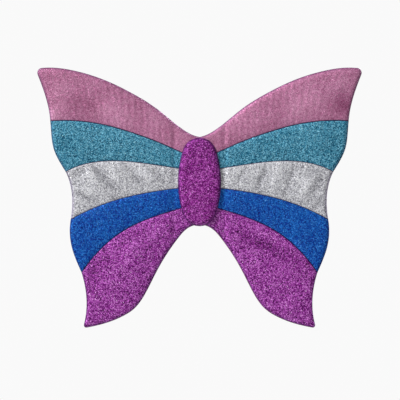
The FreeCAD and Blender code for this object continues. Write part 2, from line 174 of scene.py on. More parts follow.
def split_at(loop, marks):
    """A closed loop's stretches between its marks, run round the way the marks go."""
    count = len(loop)
    if (marks[1] - marks[0]) % count > (marks[3] - marks[0]) % count:
        loop = loop[::-1]
        marks = [count - 1 - m for m in marks]
    order = [(m - marks[0]) % count for m in marks] + [count]
    rolled = np.vstack([np.roll(loop, -marks[0], axis=0), loop[marks[0]]])
    return [rolled[a:b + 1] for a, b in zip(order, order[1:])]


def ends_of(loop, chosen):
    """The highest and the lowest of a loop's chosen points."""
    ids = np.where(chosen)[0]
    return int(ids[np.argmax(loop[ids, 1])]), int(ids[np.argmin(loop[ids, 1])])


def wing_sides(node, side):
    """A wing stripe's top line, outer edge and bottom line; lines run outwards."""
    loop = front_loop(node) * np.array([side, 1])
    x = loop[:, 0]
    top, bottom = ends_of(loop, x < x.min() + SAME_PLACE)
    turn = sharpness(loop, CORNER_REACH_MM * MM)
    turn[x < x.min() + NEAR_FOLD_MM * MM] = 0
    first = int(np.argmax(turn))
    turn[np.linalg.norm(loop - loop[first], axis=1) < CORNERS_APART_MM * MM] = 0
    second = int(np.argmax(turn))
    upper, lower = (first, second) if loop[first, 1] > loop[second, 1] else (second, first)
    top_line, edge, bottom_line, _ = split_at(loop, [top, upper, lower, bottom])
    return top_line, edge, bottom_line[::-1]


def centre_sides(node):
    """The top and bottom lines of a centre plate, from the middle outwards."""
    loop = front_loop(node)
    x = loop[:, 0]
    right_top, right_bottom = ends_of(loop, x > x.max() - SAME_PLACE)
    left_top, left_bottom = ends_of(loop, x < SAME_PLACE - x.max())
    top, _, bottom, _ = split_at(loop, [left_top, right_top, right_bottom, left_bottom])
    lines = []
    for chain in (top, bottom[::-1]):
        middle = [[0.0, np.interp(0.0, chain[:, 0], chain[:, 1])]]
        lines.append(np.vstack([middle, chain[chain[:, 0] > 1e-6]]))
    return lines


class WingOutline:
    """Six lines from the centre to the outer edge, and the five outer edges."""

    def __init__(self, side_name, side):
        wing = [wing_sides("%s_%s_stripe" % (side_name, c), side) for c in STRIPES]
        centre = [centre_sides(c + "_stripe_centre") for c in STRIPES]
        self.lines = [np.vstack([centre[k][0], wing[k][0]]) for k in range(len(STRIPES))]
        self.lines.append(np.vstack([centre[-1][1], wing[-1][2]]))
        self.edges = []
        for k, (_, edge, _) in enumerate(wing):
            edge = edge.copy()
            edge[0] = self.lines[k][-1]
            edge[-1] = self.lines[k + 1][-1]
            self.edges.append(edge)
        self.rim = np.vstack([self.lines[0]] + self.edges + [self.lines[-1][::-1]])

    def line_at(self, index, columns):
        """A line's points: columns 0 to 1 are even in x, 1 to 2 even along it."""
        line = self.lines[index]
        x = line[:, 0]
        zone = INNER_ZONE_MM * MM
        near_x = np.minimum(columns, 1) * zone
        near = np.stack([near_x, np.interp(near_x, x, line[:, 1])], -1)
        start = int(np.searchsorted(x[:np.argmax(x > zone + MM)], zone, side="right"))
        joint = [[zone, np.interp(zone, x[:start + 1], line[:start + 1, 1])]]
        rest = np.vstack([joint, line[start:]])
        far = along(rest, np.clip(columns - 1, 0, 1))
        return np.where((columns > 1)[:, None], far, near)

    def row_shares(self, stripe, columns, rows_of):
        """The shares of a stripe's width that its rows are at, in each column."""
        across = self.line_at(stripe, columns) - self.line_at(stripe + 1, columns)
        return rows_of(np.linalg.norm(across, axis=1))

    def patch(self, stripe, columns, rows_of):
        """A grid of (x, z) points over a stripe, bent to its outer edge."""
        top = self.line_at(stripe, columns)
        bottom = self.line_at(stripe + 1, columns)
        v = self.row_shares(stripe, columns, rows_of)
        u = np.clip(columns - 1, 0, 1)[:, None]
        edge = along(self.edges[stripe], v.ravel()).reshape(v.shape + (2,))
        top_end, bottom_end = self.edges[stripe][0], self.edges[stripe][-1]
        straight = top_end + v[..., None] * (bottom_end - top_end)
        ruled = top[:, None] + v[..., None] * (bottom - top)[:, None]
        return ruled + u[..., None] * (edge - straight)

    def seam_gaps(self, points):
        """Each point's distance to the nearest seam between two stripes."""
        return np.min([distance_to(line, points) for line in self.lines[1:-1]], axis=0)


def even_rows(count):
    """Row shares that are the same in every column."""
    return lambda width: np.tile(np.linspace(0, 1, count), (len(width), 1))


def graded_rows(middle):
    """Rows close together at both edges, even between them."""
    steps = np.array(EDGE_STEPS_MM) * MM

    def rows(width):
        fit = np.minimum(1.0, 0.45 * width / steps[-1])[:, None]
        near = steps[None, :] * fit / width[:, None]
        inside = np.linspace(0, 1, middle + 2)[1:-1]
        first = near[:, -1:]
        between = first + (1 - 2 * first) * inside[None, :]
        return np.hstack([near, between, 1 - near[:, ::-1]])

    return rows


def graded_columns(inner, outer):
    """Columns even from the centre, close together at the outer edge."""
    far = 1 - np.array(EDGE_STEPS_MM[::-1]) / OUTER_RUN_MM
    spread = np.linspace(0, far[0], outer + 1)[1:-1]
    return np.concatenate([np.linspace(0, 1, inner + 1), 1 + spread, 1 + far])


def nearest_on(line, points):
    """Each point's distance to a polyline, the nearest place on it and how far along it is."""
    a, run = line[:-1], np.diff(line, axis=0)
    p = points[:, None]
    t = np.clip(((p - a) * run).sum(2) / np.maximum((run ** 2).sum(1), 1e-18), 0, 1)
    at = a + t[..., None] * run
    gap = np.linalg.norm(at - p, axis=2)
    rows, best = np.arange(len(points)), gap.argmin(1)
    lengths = arc_lengths(line)
    travel = lengths[best] + t[rows, best] * (lengths[best + 1] - lengths[best])
    return gap[rows, best], at[rows, best], travel


def distance_to(line, points):
    return nearest_on(line, points)[0]


# Mesh objects and the cloth simulation

def mesh_object(name, points, faces):
    mesh = bpy.data.meshes.new(name)
    mesh.from_pydata(np.asarray(points).tolist(), [], [list(map(int, f)) for f in faces])
    mesh.update()
    made = bpy.data.objects.new(name, mesh)
    scene.collection.objects.link(made)
    return made


CLOTH = {
    "quality": 6, "mass": 0.05, "tension_stiffness": 12, "compression_stiffness": 12,
    "shear_stiffness": 4, "bending_stiffness": 0.6, "shrink_min": 0.0, "use_pressure": True,
}
SIM_FRAMES = 22


def inflate(points, faces, pinned, slack, pressure):
    """Blow up a flat sheet held at its pinned points; returns where it ends."""
    sheet = mesh_object("sheet_to_inflate", points, faces)
    held = sheet.vertex_groups.new(name="held")
    held.add([int(i) for i in np.where(pinned)[0]], 1.0, "ADD")
    loose = sheet.vertex_groups.new(name="loose")
    for i, amount in enumerate(slack):
        loose.add([i], float(amount / slack.max()), "ADD")
    cloth = sheet.modifiers.new("Cloth", "CLOTH")
    for key, value in CLOTH.items():
        setattr(cloth.settings, key, value)
    cloth.settings.vertex_group_mass = "held"
    cloth.settings.vertex_group_shrink = "loose"
    cloth.settings.shrink_max = -float(slack.max())
    cloth.settings.uniform_pressure_force = pressure
    cloth.settings.effector_weights.gravity = 0
    cloth.point_cache.frame_start = 1
    cloth.point_cache.frame_end = SIM_FRAMES
    for number in range(1, SIM_FRAMES + 1):
        scene.frame_set(number)
    shaped = sheet.evaluated_get(bpy.context.evaluated_depsgraph_get())
    moved = np.array([v.co for v in shaped.data.vertices])
    bpy.data.objects.remove(sheet)
    scene.frame_set(1)
    return moved


def grid_faces(columns, rows):
    """Quads of a grid whose points run row by row within each column."""
    c, r = np.meshgrid(np.arange(columns - 1), np.arange(rows - 1), indexing="ij")
    a = c * rows + r
    return np.stack([a, a + rows, a + rows + 1, a + 1], -1).reshape(-1, 4)


class Relief:
    """Heights over the wing from a cloth simulation, read by column and row share."""

    COLUMNS_IN = 11
    COLUMNS_OUT = 38
    ROWS = 15
    LOWEST_MM = -0.2
    HIGHEST_SHARE = 1.6

    def __init__(self, outline, seams_hold, slack_by_stripe, pressure, rise_mm):
        self.columns = np.concatenate([
            np.linspace(0, 1, self.COLUMNS_IN),
            np.linspace(1, 2, self.COLUMNS_OUT + 1)[1:],
        ])
        even = even_rows(self.ROWS)
        patches = [outline.patch(k, self.columns, even) for k in range(len(STRIPES))]
        grid = np.concatenate([patches[0]] + [p[:, 1:] for p in patches[1:]], axis=1)
        columns, rows = grid.shape[:2]
        points = upright(grid.reshape(-1, 2), 0.0)
        row = np.tile(np.arange(rows), columns)
        column = np.repeat(np.arange(columns), rows)
        pinned = (row == 0) | (row == rows - 1) | (column == columns - 1)
        pinned |= self.columns[column] * INNER_ZONE_MM < FOLD_X / MM + 1
        if seams_hold:
            pinned |= row % (self.ROWS - 1) == 0
        stripe = np.minimum(row // (self.ROWS - 1), len(STRIPES) - 1)
        slack = np.array(slack_by_stripe)[stripe]
        moved = inflate(points, grid_faces(columns, rows), pinned, slack, pressure)
        height = -moved[:, 1]
        height *= np.sign(height.sum()) or 1
        peak = max(np.percentile(height, 97), 1e-6)
        rise = rise_mm * MM
        height = np.clip(height * rise / peak, self.LOWEST_MM * MM, self.HIGHEST_SHARE * rise)
        self.height = height.reshape(columns, rows)

    def at(self, columns, stripe, v):
        """Smooth heights at a grid of column numbers and row shares of one stripe."""
        place = np.interp(columns, self.columns, np.arange(len(self.columns)))
        place = np.repeat(place[:, None], v.shape[1], axis=1)
        row = (stripe + v) * (self.ROWS - 1)
        return cubic_read(self.height, place, row)


def cubic_read(table, x, y):
    """Catmull-Rom reading of a table between its points."""
    def weights(t):
        return (
            (-t ** 3 + 2 * t ** 2 - t) / 2, (3 * t ** 3 - 5 * t ** 2 + 2) / 2,
            (-3 * t ** 3 + 4 * t ** 2 + t) / 2, (t ** 3 - t ** 2) / 2,
        )

    ix = np.clip(np.floor(x).astype(int), 0, table.shape[0] - 2)
    iy = np.clip(np.floor(y).astype(int), 0, table.shape[1] - 2)
    total = np.zeros(x.shape)
    for i, wx in enumerate(weights(x - ix)):
        for j, wy in enumerate(weights(y - iy)):
            cx = np.clip(ix + i - 1, 0, table.shape[0] - 1)
            cy = np.clip(iy + j - 1, 0, table.shape[1] - 1)
            total += wx * wy * table[cx, cy]
    return total


# Creases: (start x, start z, end x, end z, half width, depth) in mm, x outwards.
CREASES = {
    "left": (
        (172, -16, 134, -30, 3.0, 2.0), (166, -8, 140, -18, 5, -0.9),
        (148, 22, 112, -16, 5, 1.6), (160, 20, 134, -10, 5, -0.9), (128, 24, 100, -10, 5, -0.9),
        (104, 24, 74, -8, 5, 1.4), (84, 22, 58, -4, 5, -0.7), (174, 6, 152, 22, 5, 1.3),
        (66, 20, 46, -4, 4, 1.1),
        (122, -148, 92, -158, 5, 1.2), (126, -92, 156, -150, 9, 0.9), (70, -70, 112, -120, 9, -0.8),
        (192, 122, 146, 98, 15, 0.6), (140, 110, 96, 78, 14, -0.9), (200, 60, 172, 34, 9, 0.8),
    ),
    "right": (
        (46, -66, 142, -112, 7, 2.0), (56, -58, 146, -96, 7, -1.2),
        (152, -170, 132, -182, 3.5, 1.6), (140, -146, 102, -160, 8, 1.2),
        (172, 8, 150, -28, 5, 1.5), (160, 12, 138, -26, 5, -0.8), (134, 25, 118, -20, 5, 1.4),
        (112, 24, 98, -14, 5, -0.8), (94, 23, 80, -10, 5, 1.3), (66, 21, 50, -6, 4, 1.1),
        (175, -20, 158, -38, 4, 1.3),
        (196, 132, 202, 94, 12, 1.2), (168, 118, 120, 92, 14, -0.9), (198, 58, 170, 36, 9, 0.7),
    ),
}

# Paler spots are painted highlights, deeper spots darker tone: (x, z, radius, levels of 255) in mm, x
# outwards.
HIGHLIGHTS_AND_TINTS = {
    "left": (
        (193, 127, 15, 16), (205, 92, 9, 34), (196, 104, 13, 12), (150, 116, 26, -2),
        (60, 84, 20, 7), (120, 60, 26, 5), (110, -150, 22, 12), (62, -70, 16, 10),
        (150, 3, 12, 9), (92, 10, 12, 8),
    ),
    "right": (
        (201, 103, 12, -16), (196, 134, 16, 10), (60, 84, 20, 8), (150, 100, 30, 5),
        (120, -160, 26, 10), (60, -60, 14, -8), (140, 0, 14, 9), (76, 14, 10, 8),
    ),
}


def tint_at(side_name, points):
    """Levels added at each point: painted highlight where above 0, darker tone where below."""
    levels = np.zeros(len(points))
    for x, z, radius, amount in HIGHLIGHTS_AND_TINTS[side_name]:
        gap = np.linalg.norm(points - np.array([x, z]) * MM, axis=1)
        levels += amount * np.exp(-((gap / (radius * MM)) ** 2))
    return levels


def rim_puckers(gap, travel, height_mm, reach_mm):
    """The small gathers a turned seam draws into the cloth beside it."""
    s = travel / MM
    wave = np.sin(s / 2.3 + 1.8 * np.sin(s / 17)) + 0.5 * np.sin(s / 1.3 + 2.0 * np.sin(s / 23))
    return height_mm * MM * wave * np.exp(-gap / (reach_mm * MM))


def crease_depth(side_name, points):
    """How deep the listed creases press the cloth at each point."""
    depth = np.zeros(len(points))
    for x0, z0, x1, z1, width, deep in CREASES[side_name]:
        start, end = np.array([x0, z0]) * MM, np.array([x1, z1]) * MM
        run = end - start
        t = ((points - start) @ run) / (run @ run)
        gap = np.linalg.norm(start + np.clip(t, 0, 1)[:, None] * run - points, axis=1)
        taper = np.sin(np.pi * np.clip(0.08 + 0.84 * t, 0, 1))
        depth += deep * MM * np.exp(-((gap / (width * MM)) ** 2)) * np.clip(taper, 0, 1)
    return depth


# Meshes

def new_piece(name, points, faces, material, **attributes):
    """A mesh piece that remembers its rest place, with its material."""
    piece = mesh_object(name, points, faces)
    mesh = piece.data
    mesh.polygons.foreach_set("use_smooth", [True] * len(mesh.polygons))
    for key, values in {"rest_place": points, **attributes}.items():
        values = np.asarray(values, np.float32)
        kind, field = ("FLOAT_VECTOR", "vector") if values.ndim == 2 else ("FLOAT", "value")
        mesh.attributes.new(key, kind, "POINT").data.foreach_set(field, values.ravel())
    mesh.materials.append(material)
    return piece


def outward_normals(chain):
    """Unit normals of a chain of (x, z) points, pointing away from the wing."""
    run = unit(np.gradient(chain, axis=0))
    return np.stack([-run[:, 1], run[:, 0]], -1)


def rim_chain(columns, rows, top=True, bottom=True):
    """A grid's points along its top line, outer edge and bottom line, in order."""
    chain = [c * rows for c in range(0 if top else columns - 1, columns)]
    chain += [(columns - 1) * rows + r for r in range(1, rows)]
    if bottom:
        chain += [c * rows + rows - 1 for c in range(columns - 2, -1, -1)]
    return chain


def whole_wing(outline, columns, row_functions, relief):
    """One grid over all five stripes: its points, the relief's heights and its rows."""
    patches, heights = [], []
    for stripe, rows_of in enumerate(row_functions):
        keep = slice(min(stripe, 1), None)
        v = outline.row_shares(stripe, columns, rows_of)
        patches.append(outline.patch(stripe, columns, rows_of)[:, keep])
        heights.append(relief.at(columns, stripe, v)[:, keep])
    grid = np.concatenate(patches, axis=1)
    return grid.reshape(-1, 2), np.concatenate(heights, axis=1).ravel(), grid.shape[1]


def front_height(rim_gap, seam_gap):
    """How far the cloth stands in front of the rim, from its distances to rim and seam."""
    round_edge = quarter_round(rim_gap / (RIM_ROUND_MM * MM))
    ditch = SEAM_DITCH_MM * MM * np.exp(-seam_gap / (SEAM_WIDTH_MM * MM)) * round_edge
    return FRONT_RISE_MM * MM * round_edge - ditch


def fold_ditch(x):
    """The cloth is pinched along the fold beside the body."""
    return FOLD_DITCH_MM * MM * np.exp(-(((x - FOLD_X) / (FOLD_DITCH_WIDTH_MM * MM)) ** 2))


RIM_Y = MIDDLE_Y + RIM_SHIFT_MM * MM
# The turned hem behind the rim: how far in and how far back each of its lines is.
HEM_MM = ((0.25, 0.55), (0.8, 1.0), (1.6, 1.3))
# Height and reach of the gathers beside the rim.
FRONT_PUCKER_MM = (0.16, 5)
BACK_PUCKER_MM = (0.4, 9)


def stripe_piece(side_name, side, stripe, outline, relief, material):
    """One stripe's cloth, from under the body to round the rim."""
    columns = graded_columns(30, 76)
    rows_of = graded_rows(15)
    patch = outline.patch(stripe, columns, rows_of)
    count, rows = patch.shape[:2]
    flat = patch.reshape(-1, 2)
    rim_gap, _, travel = nearest_on(outline.rim, flat)
    seam_gap = outline.seam_gaps(flat)
    puff = relief.at(columns, stripe, outline.row_shares(stripe, columns, rows_of)).ravel()
    calm = np.clip(rim_gap / (CALM_RIM_MM * MM), 0, 1)
    crease = crease_depth(side_name, flat) * calm * np.clip(seam_gap / (CALM_SEAM_MM * MM), 0.2, 1)
    rise = front_height(rim_gap, seam_gap) + puff * calm - fold_ditch(flat[:, 0]) * calm - crease
    rise += rim_puckers(rim_gap, travel, *FRONT_PUCKER_MM) * np.clip(rim_gap / (2 * MM), 0, 1)
    # Painted highlights in the listed pale spots, darker tone in the deeper ones.
    tint = tint_at(side_name, flat)

    chain = rim_chain(count, rows, top=stripe == 0, bottom=stripe == len(STRIPES) - 1)
    edge = flat[chain]
    normal = outward_normals(edge)
    points = [upright(flat, RIM_Y - rise)]
    faces = [grid_faces(count, rows)]
    before = np.array(chain)
    here = len(flat) + np.arange(len(edge))
    for inward, back in HEM_MM:
        points.append(upright(edge - normal * inward * MM, RIM_Y + back * MM))
        faces.append(np.stack([before[:-1], before[1:], here[1:], here[:-1]], -1))
        before, here = here, here + len(edge)
    points = np.vstack(points) * (side, 1, 1)
    lines = len(HEM_MM)
    return new_piece(
        "%s_stripe_%s" % (STRIPES[stripe], side_name), points, np.vstack(faces)[:, ::side], material,
        # The hem lines get a rim_gap of -1, which gives them the full painted rim shade.
        rim_gap=np.concatenate([rim_gap / MM, np.full(lines * len(edge), -1.0)]),
        seam_gap=np.concatenate([seam_gap, np.tile(seam_gap[chain], lines)]) / MM,
        crease=np.concatenate([crease / MM, np.zeros(lines * len(edge))]),
        tint=np.concatenate([tint, np.tile(tint[chain], lines)]) / 255,
    )


# The satin behind: its depth behind the rim and behind the CAD plate, its rounding,
# and how far its edge is tucked in, or drawn out along the pink lip.
BACK_RIM_MM = 1.3
BACK_RISE_MM = 0.25
BACK_ROUND_MM = 5.0
TUCK_MM = 1.1
LIP_MM = 0.55
# The patch presses the satin flat out to PATCH_REACH_MM, and lets go of it further on.
PATCH_REACH_MM = 16.0
PATCH_EASE_MM = 6.0
NO_LIMIT = 1.0


def back_wrinkles(points):
    """Long soft wrinkles that fan out from the body, and finer ones across the tips."""
    x, z = points[:, 0] / MM, points[:, 1] / MM
    angle = np.arctan2(z, x)
    far = np.hypot(x, z)
    bend = 0.8 * np.sin(far / 31) + 0.9 * np.sin(5 * angle)
    fan = np.sin(21 * angle + bend) * np.exp(-((far - 75) / 55) ** 2)
    tips = np.sin(far / 6 + 5 * angle + 1.7 * np.sin(6 * angle)) * np.exp(-((far - 165) / 55) ** 2)
    return MM * (1.25 * fan * np.clip(far / 60, 0, 1) + 0.9 * tips)


def backing_piece(side_name, side, outline, relief, material):
    """The satin behind one wing, in one sheet from the centre seam to the rim."""
    columns = graded_columns(24, 48)
    row_functions = [graded_rows(8)] + [even_rows(9)] * 3 + [graded_rows(8)]
    flat, puff, rows = whole_wing(outline, columns, row_functions, relief)
    rim_gap, _, travel = nearest_on(outline.rim, flat)
    share = np.clip((rim_gap / MM) / BACK_ROUND_MM, 0, 1)
    edge_y = RIM_Y + BACK_RIM_MM * MM
    full_y = BACK_Y + BACK_RISE_MM * MM
    y = edge_y + (full_y - edge_y) * quarter_round(share)
    outside = np.clip((flat[:, 0] - FOLD_X) / (12 * MM), 0, 1)
    y += puff * share - 0.5 * fold_ditch(flat[:, 0]) * share
    y += rim_puckers(rim_gap, travel, *BACK_PUCKER_MM) * share * outside
    y += back_wrinkles(flat) * share * outside
    pressed = np.clip(1 - (flat[:, 0] / MM - PATCH_REACH_MM) / PATCH_EASE_MM, 0, 1)
    limit = BACK_Y * pressed + NO_LIMIT * (1 - pressed)
    y = np.where(rim_gap > BACK_ROUND_MM * MM, np.minimum(y, limit), y)
    chain = np.array(rim_chain(len(columns), rows))
    tuck = np.where(chain % rows == rows - 1, -LIP_MM, TUCK_MM)
    flat[chain] -= outward_normals(flat[chain]) * tuck[:, None] * MM
    points = upright(flat, y) * (side, 1, 1)
    faces = grid_faces(len(columns), rows)[:, ::-side]
    return new_piece("backing_" + side_name, points, faces, material, rim_gap=rim_gap / MM)


WADDING_INSET_MM = 4.0
WADDING_BLEND_MM = 25.0
WADDING_GAP_MM = 1.5
WADDING_BACK_GAP_MM = 0.9


def wadding_piece(side_name, side, outline, relief, material):
    """The soft filling of one wing: a flat lens inside the front and the backing."""
    columns = graded_columns(16, 44)
    flat, puff, rows = whole_wing(outline, columns, [even_rows(10)] * len(STRIPES), relief)
    gap, nearest, _ = nearest_on(outline.rim, flat)
    chain = rim_chain(len(columns), rows)
    inward = (flat - nearest) / np.maximum(gap, 1e-9)[:, None]
    inward[chain] = -outward_normals(flat[chain])
    near_rim = np.clip(1 - gap / (WADDING_BLEND_MM * MM), 0, 1)
    flat = flat + inward * (WADDING_INSET_MM * MM * near_rim)[:, None]
    gap = np.maximum(distance_to(outline.rim, flat) - WADDING_INSET_MM * MM, 0)
    gap[chain] = 0
    full = quarter_round(gap / (BACK_ROUND_MM * MM))
    crease = np.maximum(crease_depth(side_name, flat), 0)
    rise = front_height(gap + WADDING_INSET_MM * MM, outline.seam_gaps(flat))
    rise += 0.4 * np.clip(puff, 0, None)
    rise -= fold_ditch(flat[:, 0]) + 1.4 * crease + WADDING_GAP_MM * MM
    rise = np.maximum(rise, -0.6 * MM) * full
    drop = (BACK_Y - RIM_Y - WADDING_BACK_GAP_MM * MM) * full
    points = np.vstack([upright(flat, RIM_Y - rise), upright(flat, RIM_Y + drop)]) * (side, 1, 1)
    faces = grid_faces(len(columns), rows)
    faces = np.vstack([faces, faces[:, ::-1] + len(flat)])[:, ::side]
    piece = new_piece("wadding_" + side_name, points, faces, material)
    weld(piece)
    return piece


def weld(piece):
    """Join points that lie on each other and drop the faces that leaves flat."""
    shape = bmesh.new()
    shape.from_mesh(piece.data)
    bmesh.ops.remove_doubles(shape, verts=shape.verts, dist=2e-6)
    bmesh.ops.dissolve_degenerate(shape, dist=1e-6, edges=shape.edges)
    shape.to_mesh(piece.data)
    shape.free()


# Body

BODY_AROUND = 132
BODY_EDGE_MM = (0.0, 0.3, 0.9, 1.8, 3.0, 4.5, 6.3, 8.4, 10.8)
BODY_ROUND_MM = 8.5
BODY_RISE_MM = 7.4
BODY_SPINE_MM = 34.0
BODY_SWELL_LIMIT_MM = 1.3
BODY_SPINE_RUN_MM = 14.0
# The cover's edge, turned under: how far in and how deep each of its lines is.
BODY_HEM_MM = ((3.2, 0.5), (0.5, 0.45))
FAR_FROM_SEAM_MM = 50.0


def body_edge():
    """The body's outline, even all round and the same on both sides."""
    mesh = frame["nodes"]["body_cover"].data
    slots = {}
    for v in mesh.vertices:
        level = round(v.co.z / (0.25 * MM))
        if v.co.x > slots.get(level, (0, 0))[0]:
            slots[level] = (v.co.x, v.co.z)
    low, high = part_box("body_cover")
    right = sorted(slots.values(), key=lambda p: -p[1])
    kept = []
    for p in [(0.0, high.z)] + right + [(0.0, low.z)]:
        while len(kept) > 1:
            (ax, az), (bx, bz) = kept[-2], kept[-1]
            if (bx - ax) * (p[1] - az) - (bz - az) * (p[0] - ax) < 0:
                break
            kept.pop()
        kept.append(p)
    half = along(np.array(kept), np.linspace(0, 1, BODY_AROUND // 2 + 1))
    return np.vstack([half * np.array([-1, 1]), half[-2:0:-1]])


def inward_offset(loop, distance):
    """A loop moved inwards; it runs anticlockwise, seen from the front."""
    run = unit(np.roll(loop, -1, axis=0) - np.roll(loop, 1, axis=0))
    return loop + np.stack([-run[:, 1], run[:, 0]], -1) * distance


def ring_faces(around, rings):
    i = np.arange(around)
    j = (i + 1) % around
    bands = [np.stack([i + k, j + k, j + k + around, i + k + around], -1)
             for k in range(0, (rings - 1) * around, around)]
    return np.vstack(bands)


def tube_faces(around, rings):
    """Rings joined into a tube that is closed at both ends."""
    last = (rings - 1) * around
    ends = [range(around - 1, -1, -1), range(last, last + around)]
    return ring_faces(around, rings).tolist() + [list(end) for end in ends]


def body_piece(name, inset_mm, rise_mm, material, swell):
    """A padded oval: rings from its sewn edge in to a line down the middle."""
    edge = inward_offset(body_edge(), inset_mm * MM)
    rings = [inward_offset(edge, d * MM) for d in BODY_EDGE_MM]
    gaps = list(BODY_EDGE_MM)
    inner = rings[-1]
    reach = BODY_SPINE_MM * MM
    spine = np.stack([np.zeros(len(inner)), np.clip(inner[:, 1], -reach, reach)], -1)
    for share in (0.2, 0.4, 0.6, 0.8, 1.0):
        rings.append(inner + (spine - inner) * share)
        gaps.append(BODY_EDGE_MM[-1] + share * BODY_SPINE_RUN_MM)
    gap = np.repeat(gaps, BODY_AROUND)
    crown = 0.5 * np.clip((gap - BODY_ROUND_MM) / 15, 0, 1)
    rise = rise_mm * quarter_round(gap / BODY_ROUND_MM) + crown
    sunk = FRONT_Y + (0.4 + inset_mm * 0.3) * MM
    points = upright(np.vstack(rings), sunk - rise * MM)
    if swell:
        faces = ring_faces(BODY_AROUND, len(rings))
        change = inflate(points, faces, gap < 0.1, np.full(len(points), 0.02), 1.4) - points
        size = np.maximum(np.linalg.norm(change, axis=1), 1e-9)
        points = points + change * np.minimum(1, BODY_SWELL_LIMIT_MM * MM / size)[:, None]
    hems = [upright(inward_offset(edge, inset * MM), sunk + sink * MM) for inset, sink in BODY_HEM_MM]
    gap = np.concatenate([np.zeros(len(hems) * BODY_AROUND), gap])
    # rim_gap also sets the painted shade along the cover's edge.
    piece = new_piece(
        name, np.vstack(hems + [points]), ring_faces(BODY_AROUND, len(rings) + len(hems)), material,
        rim_gap=gap * 0.8, seam_gap=np.full(len(gap), FAR_FROM_SEAM_MM))
    weld(piece)
    smooth = piece.modifiers.new("subdivision", "SUBSURF")
    smooth.levels = smooth.render_levels = 1
    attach(piece, "root")
    return piece


# Back: patch, straps, tacks and label

def rounded_loop(half_x, half_z, corner, step):
    """A rounded rectangle of even points, anticlockwise."""
    loop = []
    for k, (cx, cz) in enumerate(((1, 1), (-1, 1), (-1, -1), (1, -1))):
        centre = np.array([cx * (half_x - corner), cz * (half_z - corner)])
        angles = np.radians(90 * k + np.linspace(0, 90, 9))
        loop += list(centre + corner * np.stack([np.cos(angles), np.sin(angles)], -1))
    closed = np.array(loop + loop[:1])
    count = int(arc_lengths(closed)[-1] / step)
    return along(closed, np.arange(count) / count)


# The patch's section from its edge inwards: distance in and share of its thickness.
PATCH_PROFILE = (
    (0.8, 0.0), (0.2, 0.15), (0.0, 0.45), (0.2, 0.78), (0.6, 0.94), (1.4, 1.0),
    (2.2, 0.9), (2.9, 0.86), (3.6, 0.92), (5.0, 1.0), (8.0, 1.0), (11.5, 1.0),
)
PATCH_CORNER_MM = 4.0
STITCH_INSET_MM = 2.8


def patch_piece(material):
    """A felt patch with soft edges, drawn in along its stitching."""
    low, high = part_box("back_patch")
    half = np.array([high.x - low.x, high.z - low.z]) / 2
    corner = PATCH_CORNER_MM * MM
    outer = rounded_loop(half[0], half[1], corner, 1.6 * MM)
    core = np.clip(outer, corner - half, half - corner)
    around = len(outer)
    rings = []
    for inset, height in PATCH_PROFILE:
        ring = outer + (core - outer) * inset / PATCH_CORNER_MM
        if inset >= PATCH_CORNER_MM:
            ring = np.clip(core, inset * MM - half, half - inset * MM)
        ring = upright(ring, low.y + height * (high.y - low.y))
        if 0.5 < inset < 11:
            ring[:, 1] += [0.1 * MM * noise.noise(Vector(p) / (5 * MM)) for p in ring]
        rings.append(ring)
    faces = ring_faces(around, len(rings)).tolist()
    faces.append(range((len(rings) - 1) * around, len(rings) * around))
    piece = new_piece("back_patch_felt", np.vstack(rings), [list(f)[::-1] for f in faces], material)
    weld(piece)
    return piece


STITCH_RINGS = 7
STITCH_SIDES = 7
PATCH_THREAD_MM = (0.36, 0.5)
TACK_THREAD_MM = (0.25, 0.35)
TACK_HIGH_MM = 1.6


def stitches_piece(name, spans, thread_mm, material):
    """Short threads from a to b on a plane facing +Y: each is bowed, its ends sunk."""
    radius, lift = (size * MM for size in thread_mm)
    points, faces = [], []
    for a, b in spans:
        a, b = np.array(a), np.array(b)
        run = (b - a) / np.linalg.norm(b - a)
        across = np.cross(run, (0, 1, 0))
        first = len(points)
        for k in range(STITCH_RINGS):
            t = k / (STITCH_RINGS - 1)
            centre = a + (b - a) * t + np.array([0, lift * math.sin(math.pi * t) - radius, 0])
            size = radius * (0.55 + 0.45 * math.sin(math.pi * t))
            for s in range(STITCH_SIDES):
                angle = 2 * math.pi * s / STITCH_SIDES
                offset = across * math.cos(angle) + np.array([0, 1, 0]) * math.sin(angle)
                points.append(centre + offset * size)
        faces += [[first + i for i in face] for face in tube_faces(STITCH_SIDES, STITCH_RINGS)]
    piece = new_piece(name, points, faces, material)
    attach(piece, "root")
    return piece


def patch_stitches(material):
    """Running stitches round the patch."""
    low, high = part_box("back_patch")
    inset = STITCH_INSET_MM * MM
    loop = rounded_loop(
        (high.x - low.x) / 2 - inset, (high.z - low.z) / 2 - inset, 1.6 * MM, 1.25 * MM)
    y = low.y + 0.9 * (high.y - low.y)
    spans = []
    for k in range(0, len(loop) - 3, 3):
        wander = 0.12 * MM * noise.noise(Vector((k * 0.7, 3.1, 0.4)))
        a, b = loop[k], loop[k + 2]
        spans.append(((a[0] + wander, y, a[1]), (b[0], y, b[1] + wander)))
    return stitches_piece("patch_stitching", spans, PATCH_THREAD_MM, material)


TACK_STITCHES = 17


def tack_stitches(material):
    """Four bar tacks: close, slanting threads across the strap ends."""
    low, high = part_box("strap_tacks")
    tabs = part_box("right_strap_tabs")
    middle = (tabs[0].x + tabs[1].x) / 2
    half = high.x - middle
    tall = TACK_HIGH_MM * MM
    spans = []
    for side in (-1, 1):
        for z in (low.z + tall / 2, high.z - tall / 2):
            for k in range(TACK_STITCHES):
                x = side * middle - half + 2 * half * (k + 0.5) / TACK_STITCHES
                lean = 0.16 * MM * (1 if k % 2 else -1)
                wander = 0.1 * MM * noise.noise(Vector((k * 1.3, z * 900, side * 5.0)))
                top = (x + lean, low.y + 0.1 * MM, z + tall / 2 + wander)
                bottom = (x - lean, low.y + 0.1 * MM, z - tall / 2 + wander)
                spans.append((bottom, top))
    return stitches_piece("strap_tack_stitching", spans, TACK_THREAD_MM, material)


STRAP_SPLAY = math.radians(20)
STRAP_SAG_MM = 15.0
STRAP_HALF_MM = 0.5
TAB_LENGTH_MM = 10.6
TURN_MM = 3.3
